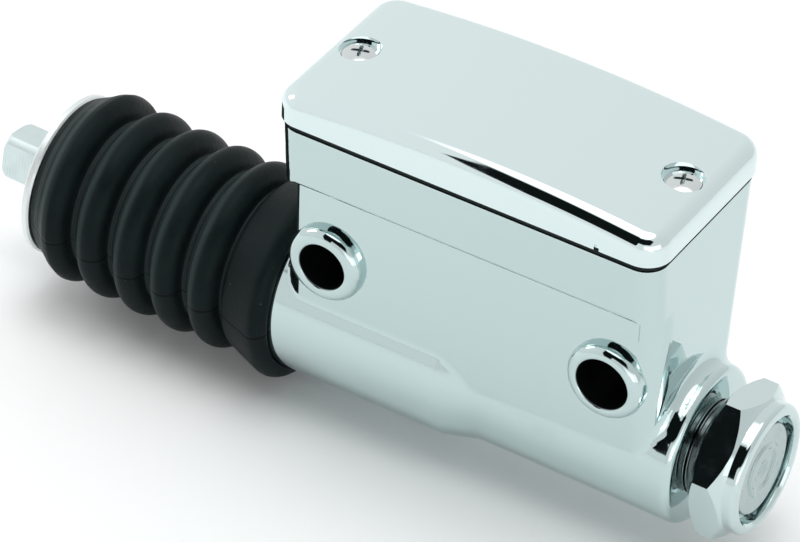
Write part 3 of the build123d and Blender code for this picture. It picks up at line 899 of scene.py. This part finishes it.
@dataclass
class Lid:
    """The reservoir's cover with its screws and the rubber diaphragm under it."""

    rim_z: tuple[float, float] = (53.2, 54.8)
    rim_x: tuple[float, float] = (-89.15, -4.55)
    rim_y: float = 20.55
    rim_corner: float = 4.6
    bag_half: tuple[float, float] = (29.0, 13.0)
    bag_depth: float = 9.0
    wall: float = 1.2

    def dress(self) -> None:
        """Plates the cover and the screws."""
        dress(["reservoir_cover"], Chrome("chromed_cover", (0.71, 0.82, 0.825), roughness=0.03, wave=45.0,
                                          wave_depth=0.00004).material())
        dress(["cover_screws"], Chrome("bright_screws", (0.66, 0.70, 0.70), roughness=0.10, wave=500.0,
                                       wave_depth=0.000012).material())

    @staticmethod
    def loop(half_x: float, half_y: float, corner: float, steps: int = 9) -> list[Point]:
        """Traces a rounded rectangle about the middle.

        Args:
            half_x: half its length.
            half_y: half its width.
            corner: its corner radius.
            steps: points on each corner.

        Returns:
            The points in order.
        """
        points: list[Point] = []
        for number, (sx, sy) in enumerate(((1, 1), (-1, 1), (-1, -1), (1, -1))):
            for step in range(steps):
                angle = math.radians(90 * (number + step / (steps - 1)))
                points.append((sx * (half_x - corner) + corner * math.cos(angle),
                               sy * (half_y - corner) + corner * math.sin(angle)))
        return points

    def build(self) -> bpy.types.Object:
        """Moulds the diaphragm: a beaded rim, pleated wall and sunken bag.

        Returns:
            The diaphragm.
        """
        bag_x, bag_y = self.bag_half
        half_x = (self.rim_x[1] - self.rim_x[0]) / 2
        low, high = self.rim_z
        deep = low - self.bag_depth
        middle = (self.rim_x[0] + self.rim_x[1]) / 2
        levels = [
            # (half length, half width, corner, height), from the bag's floor over the top and back under
            (2.0, 1.0, 0.9, deep + self.wall), (bag_x - 4.5, bag_y - 4.5, 2.0, deep + self.wall),
            (bag_x - 3.6, bag_y - 3.6, 2.4, deep + self.wall + 0.5),
            (bag_x - 2.6, bag_y - 2.6, 2.6, deep + 1.3),
            (bag_x - 1.5, bag_y - 1.5, 2.9, deep + 1.9), (bag_x - 1.2, bag_y - 1.2, 3.0, low - 1.2),
            (bag_x - 0.9, bag_y - 0.9, 3.2, high - 0.5), (bag_x + 0.2, bag_y + 0.2, 4.0, high),
            (bag_x + 1.6, bag_y + 1.6, 4.6, high), (bag_x + 2.0, bag_y + 2.0, 4.8, high - 0.25),
            (bag_x + 2.6, bag_y + 2.6, 5.0, high - 0.25), (bag_x + 3.0, bag_y + 3.0, 5.0, high),
            (half_x - 0.7, self.rim_y - 0.7, self.rim_corner - 0.6, high),
            (half_x - 0.2, self.rim_y - 0.2, self.rim_corner - 0.1, high - 0.2),
            (half_x, self.rim_y, self.rim_corner, high - 0.55),
            (half_x - 0.18, self.rim_y - 0.18, self.rim_corner - 0.1, high - 0.8),
            (half_x, self.rim_y, self.rim_corner, low + 0.55),
            (half_x - 0.2, self.rim_y - 0.2, self.rim_corner - 0.1, low + 0.2),
            (half_x - 0.7, self.rim_y - 0.7, self.rim_corner - 0.6, low),
            (bag_x + 0.1, bag_y + 0.1, 4.1, low), (bag_x, bag_y, 4.0, low - 0.5),
            (bag_x, bag_y, 4.0, deep + 1.2), (bag_x - 0.5, bag_y - 0.5, 3.6, deep), (2.0, 1.0, 0.9, deep)]
        work = bmesh.new()
        rows = [[work.verts.new(((middle + x) * MM, y * MM, z * MM)) for x, y in self.loop(a, b, c)]
                for a, b, c, z in levels]
        count = len(rows[0])
        for first, second in zip(rows, rows[1:]):
            for i in range(count):
                work.faces.new((first[i], first[(i + 1) % count], second[(i + 1) % count], second[i]))
        work.faces.new(rows[0])
        work.faces.new(rows[-1][::-1])
        bmesh.ops.recalc_face_normals(work, faces=work.faces)
        for face in work.faces:
            face.smooth = True
        mesh = bpy.data.meshes.new("diaphragm_moulded")
        work.to_mesh(mesh)
        work.free()
        turn_outwards(mesh)
        rubber = Rubber("black_rubber", (0.012, 0.015, 0.015), 0.0, 0.55, depth=0.00003)
        mesh.materials.append(rubber.material())
        piece = bpy.data.objects.new("diaphragm_moulded", mesh)
        bpy.context.scene.collection.objects.link(piece)
        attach(piece, "cover")
        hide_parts("cover_diaphragm")
        return piece


@dataclass
class Cartridge:
    """The threaded cartridge, its nut, plug and the small parts inside the bore."""

    def dress(self) -> None:
        """Finishes every machined and pressed part."""
        dress(["cartridge_sleeve"], TurnedSteel("machined_steel", (0.30, 0.33, 0.33), roughness=0.16,
                                                feed=9000.0, depth=0.0000012,
                                                stain=(0.24, 0.265, 0.265)).material())
        dress(["mounting_nut"], Chrome("chromed_nut", (0.59, 0.70, 0.70), roughness=0.05, wave=160.0,
                                       wave_depth=0.00003).material())
        dress(["outlet_dust_plug"], TurnedSteel("plug_metal", (0.42, 0.51, 0.51), roughness=0.17, feed=9000.0,
                                                depth=0.0000001, stain=(0.38, 0.46, 0.46)).material())
        dress(["piston"], TurnedSteel("anodised_aluminium", (0.62, 0.60, 0.50), roughness=0.30,
                                      stain=(0.48, 0.46, 0.38)).material())
        spring = Blackened("spring_steel", (0.24, 0.25, 0.26), roughness=0.32).material()
        dress(["cup_backing_washer", "spring_retainer", "stop_washer"], spring)
        dress(["retaining_ring"], Blackened("ring_steel", (0.05, 0.052, 0.055), roughness=0.38).material())
        cups = Rubber("cup_rubber", (0.014, 0.015, 0.016), 0.0, 0.35, depth=0.00001, lint=0.0).material()
        dress(["primary_cup", "secondary_cup"], cups)
        rings = Rubber("ring_rubber", (0.012, 0.013, 0.014), 0.0, 0.30, depth=0.00001, lint=0.0).material()
        dress(["sleeve_o_rings"], rings)


@dataclass
class Springs:
    """The two compression springs, wound with closed ends."""

    stroke: float = 0.015
    outer_start: float = -0.14830
    outer_end: float = -0.09895
    outer_anchor: float = -0.0980
    inner_start: float = -0.04325
    inner_end: float = -0.01045
    inner_anchor: float = -0.0102
    finish: Blackened = field(
        default_factory=lambda: Blackened("spring_wire", (0.30, 0.31, 0.32), roughness=0.28))

    def build(self) -> list[bpy.types.Object]:
        """Winds both springs.

        Returns:
            The two springs.
        """
        tree, wire = coil_tree(), self.finish.material()
        made = []
        for name, node, radius, thick, turns, start, end, anchor in (
                ("outer_coil", "pushrod_spring", 0.0125, 0.0009, 9.0, self.outer_start, self.outer_end,
                 self.outer_anchor),
                ("inner_coil", "piston_return_spring", 0.0052, 0.0006, 11.0, self.inner_start, self.inner_end,
                 self.inner_anchor)):
            piece = tree.make(name, bpy.data.meshes.new(name + "_start"), wire,
                              {"Turns": turns, "Coil radius": radius, "Wire radius": thick, "Start": start,
                               "End": end, "Steps": int(turns * 36)})
            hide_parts(node)
            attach(piece, "body")
            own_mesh(piece)
            made.append(piece)
        return made


@dataclass
class Pushrod:
    """The milled and turned rod with the plate that holds the boot's end."""

    def dress(self) -> None:
        """Finishes the rod and the plate."""
        dress(["pushrod"], MilledZinc("rod_zinc", (0.68, 0.78, 0.78), roughness=0.34).material())
        dress(["boot_plate"], MilledZinc("plate_zinc", (0.82, 0.87, 0.865), roughness=0.36, marks=0.0,
                                         depth=0.000005).material())


@dataclass
class Boot:
    """The moulded bellows between the cylinder's mouth and the pushrod's plate."""

    first_fold: float = -143.9
    pitch: float = 9.08
    folds: int = 5
    crest: float = 20.1
    root: float = 16.25
    half_crest: float = 3.38
    wall: float = 1.6
    collar: float = -0.092
    collar_face: float = -0.1035
    dip: float = -0.0026
    lift: float = 0.0041
    stroke: float = 0.015
    seam_turn: float = 0.06

    def crest_points(self, number: int, inner: bool, left: bool = True) -> list[Point]:
        """Traces one fold's section.

        Args:
            number: the fold, counted from the plate.
            inner: whether it is the inside of the wall.
            left: whether the plate side of the fold is traced too.

        Returns:
            The points from the plate side to the collar side.
        """
        middle = self.first_fold + self.pitch * number
        top = self.crest + (0.3 if number == 0 else 0.0)
        width, height, base = self.half_crest, top - self.root, self.root
        if inner:
            width, height, base = width - 0.9, height - 0.4, base - self.wall + 0.2
        points = []
        for step in range(-12 if left else 0, 13):
            angle = math.radians(90 * step / 12)
            points.append((middle + width * math.sin(angle),
                           base + height * math.cos(angle) ** 0.92 if abs(step) < 12 else base))
        return points

    def end_section(self) -> list[Point]:
        """Traces the section of the plate end: its lip and the first fold, cut at the root.

        Returns:
            The closed outline's points.
        """
        seam = self.first_fold + self.pitch / 2
        outer = [(-150.38, 15.6), (-150.38, 16.5), (-150.2, 16.9), (-149.4, 17.35), (-147.4, 18.45),
                 (-146.3, 19.15), (-145.3, 19.85)] + self.crest_points(0, False, left=False)
        outer += [(seam - 0.4, self.root - 0.08), (seam, self.root - 0.1)]
        inner = [(seam, self.root - self.wall), *self.crest_points(0, True, left=False)[::-1],
                 (-145.6, 18.4), (-147.0, 17.2), (-149.2, 15.9)]
        return outer + inner

    def main_section(self) -> list[Point]:
        """Traces the section from the first root to the collar's lip over the cylinder's mouth.

        Returns:
            The closed outline's points.
        """
        seam = self.first_fold + self.pitch / 2
        outer = [(seam, self.root - 0.1), (seam + 0.4, self.root - 0.08)]
        inner = [(seam, self.root - self.wall)]
        for number in range(1, self.folds):
            outer += self.crest_points(number, False)
            inner += self.crest_points(number, True)
            if number < self.folds - 1:
                root = self.first_fold + self.pitch * (number + 0.5)
                outer += [(root - 0.45, self.root - 0.08), (root, self.root - 0.1),
                          (root + 0.45, self.root - 0.08)]
        outer += [(-103.5, 16.35), (-103.1, 17.0), (-102.75, 17.85), (-102.3, 18.35), (-101.6, 18.7),
                  (-98.0, 20.05), (-94.9, 21.25), (-94.1, 21.5), (-93.4, 21.55), (-92.6, 21.3),
                  (-91.9, 20.7), (-91.4, 19.9), (-91.15, 19.1), (-91.15, 18.5), (-91.4, 18.24)]
        inner += [(-103.2, 15.2), (-102.0, 16.4), (-100.5, 17.2), (-100.1, 17.6), (-100.06, 18.22)]
        return outer + inner[::-1]

    def build(self) -> list[bpy.types.Object]:
        """Moulds the boot in two runs that meet at a root.

        Returns:
            The two runs.
        """
        tree = bellows_tree()
        rubber = BellowsRubber("boot_rubber", (0.0034, 0.0060, 0.0062), 0.0, 0.44,
                               seam_turn=self.seam_turn).material()
        shared = {"Dip": self.dip, "Lift": self.lift, "Collar": self.collar,
                  "First fold": self.first_fold * MM, "Fold pitch": self.pitch * MM,
                  "Last fold": float(self.folds - 1)}
        main = tree.make("boot_bellows", outline_mesh("bellows_section", self.main_section()), rubber,
                         {**shared, "Section steps": 420})
        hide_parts("boot")
        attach(main, "body")
        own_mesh(main)
        end = tree.make("boot_end", outline_mesh("end_section", self.end_section()), rubber,
                        {**shared, "Section steps": 150})
        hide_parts("boot")
        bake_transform(end)
        return [main, end]


# ---------------------------------------------------------------- studio
@dataclass
class Studio:
    """A pale floor, soft boxes, a bright tent for the chrome to reflect, and the camera."""

    lens: float = 230.55
    distance: float = 1.0
    azimuth: float = 30.406
    elevation: float = 38.305
    roll: float = 2.612
    aside: tuple[float, float] = (-0.060486, 0.032574)
    lift: float = 0.0022

    def build(self) -> None:
        """Sets up everything round the object."""
        bpy.context.scene.view_settings.view_transform = "Standard"
        self._camera()
        self._floor()
        self._tent()
        for name, where, size, power, colour in (
                ("soft_box_top", (-0.10, 0.05, 0.85), (0.35, 0.25), 0.9, (1.0, 1.0, 1.0)),
                ("soft_box_left", (-0.80, -0.15, 0.45), (0.20, 0.35), 0.8, (0.97, 1.0, 1.0)),
                ("soft_box_right", (0.60, -0.62, 0.10), (0.22, 0.22), 0.5, (1.0, 1.0, 1.0))):
            lamp = bpy.data.lights.new(name, "AREA")
            lamp.shape, lamp.energy, lamp.color = "RECTANGLE", power, colour
            lamp.size, lamp.size_y = size
            holder = bpy.data.objects.new(name, lamp)
            bpy.context.scene.collection.objects.link(holder)
            holder.location = where
            aim = Vector((-0.06, 0, 0.02)) - Vector(where)
            holder.rotation_euler = aim.to_track_quat("-Z", "Y").to_euler()

    def _camera(self) -> None:
        """Places the camera."""
        a, e, r = (math.radians(x) for x in (self.azimuth, self.elevation, self.roll))
        back = Vector((math.sin(a) * math.cos(e), -math.cos(a) * math.cos(e), math.sin(e)))
        right = Vector((math.cos(a), math.sin(a), 0.0))
        up = back.cross(right)
        right, up = math.cos(r) * right + math.sin(r) * up, math.cos(r) * up - math.sin(r) * right
        data = bpy.data.cameras.new("camera")
        data.sensor_width, data.lens = 36.0, self.lens
        data.clip_start, data.clip_end = 0.05, 20.0
        camera = bpy.data.objects.new("camera", data)
        bpy.context.scene.collection.objects.link(camera)
        place = right * self.aside[0] + up * self.aside[1] + back * self.distance + Vector((0, 0, self.lift))
        turn = Matrix((right, up, back)).transposed().to_4x4()
        camera.matrix_world = Matrix.Translation(place) @ turn
        bpy.context.scene.camera = camera

    def _floor(self) -> None:
        """Lays the pale floor just under the lowest point."""
        mesh = bpy.data.meshes.new("floor")
        low = CAD_BOX[0].z - 0.0008
        mesh.from_pydata([(-6, -6, low), (6, -6, low), (6, 6, low), (-6, 6, low)], [], [(0, 1, 2, 3)])
        finish = Finish("pale_floor", (0.95, 0.96, 0.96), 0.0, 0.75)
        material, tree, shader, place = finish.start()
        soft = EFFECTS.place(tree, Effect.GRAIN, Place=place, Scale=60.0)
        tree.feed(shader.inputs["Base Color"],
                  tree.mix(tree.maths("MULTIPLY", soft.outputs["Blotch"], 0.25), (0.95, 0.96, 0.96),
                           (0.93, 0.95, 0.95)))
        mesh.materials.append(material)
        floor = bpy.data.objects.new("floor", mesh)
        bpy.context.scene.collection.objects.link(floor)

    def _tent(self) -> None:
        """Builds the surround: a bright tent with a dark gap near the horizon on the front."""
        world = bpy.data.worlds.new("tent")
        world.use_nodes = True
        bpy.context.scene.world = world
        tree = Tree(world.node_tree)
        background = world.node_tree.nodes["Background"]
        way = tree.add("ShaderNodeTexCoord").outputs["Generated"]
        x, y, z = tree.split(way)
        overhead = tree.ramp(z, 0.885, 0.93)
        flank = tree.maths("MULTIPLY", tree.ramp(x, 0.25, 0.45), tree.ramp(z, 0.30, 0.42, 1.0, 0.0))
        flank = tree.maths("MULTIPLY", flank, tree.ramp(y, -0.15, 0.0, 1.0, 0.0))
        glow = tree.maths("ADD", tree.maths("MULTIPLY", overhead, 1.1), tree.maths("MULTIPLY", flank, 0.7))
        glow = tree.maths("ADD", glow, tree.ramp(x, -0.95, 0.8, 1.0, 0.78, smooth=False))
        # the gap round the camera: a dark wedge above eye level that closes to a point on the left
        lean = tree.maths("MULTIPLY", tree.maths("ABSOLUTE", tree.maths("SUBTRACT", z, 0.58)), 0.15)
        edge = tree.maths("SUBTRACT", tree.maths("ADD", x, 0.42), lean)
        gap = tree.maths("MULTIPLY", tree.ramp(edge, 0.0, 0.006), tree.ramp(x, 0.60, 0.68, 1.0, 0.0))
        above = tree.maths("SUBTRACT", z, tree.ramp(x, -0.22, -0.08, 0.12, 0.46))
        gap = tree.maths("MULTIPLY", gap, tree.maths("MULTIPLY", tree.ramp(above, 0.0, 0.05),
                                                     tree.ramp(z, 0.865, 0.885, 1.0, 0.0)))
        gap = tree.maths("MULTIPLY", gap, tree.ramp(y, -0.30, -0.25, 1.0, 0.0))
        shade = tree.mix(gap, tree.join(glow, glow, glow), (0.006, 0.008, 0.008))
        tree.feed(background.inputs["Color"], shade)
        background.inputs["Strength"].default_value = 1.0


def main() -> None:
    """Builds every sub-assembly in order and reports its pieces."""
    Studio().build()
    casting, lid, cartridge, rod = Casting(), Lid(), Cartridge(), Pushrod()
    casting.dress()
    lid.dress()
    log.info("built %s", lid.build().name)
    cartridge.dress()
    rod.dress()
    for piece in Springs().build() + Boot().build():
        log.info("built %s with %d faces", piece.name, len(piece.data.polygons))
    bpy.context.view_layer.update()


if __name__ == "__main__":
    logging.basicConfig(level=logging.INFO)
    main()
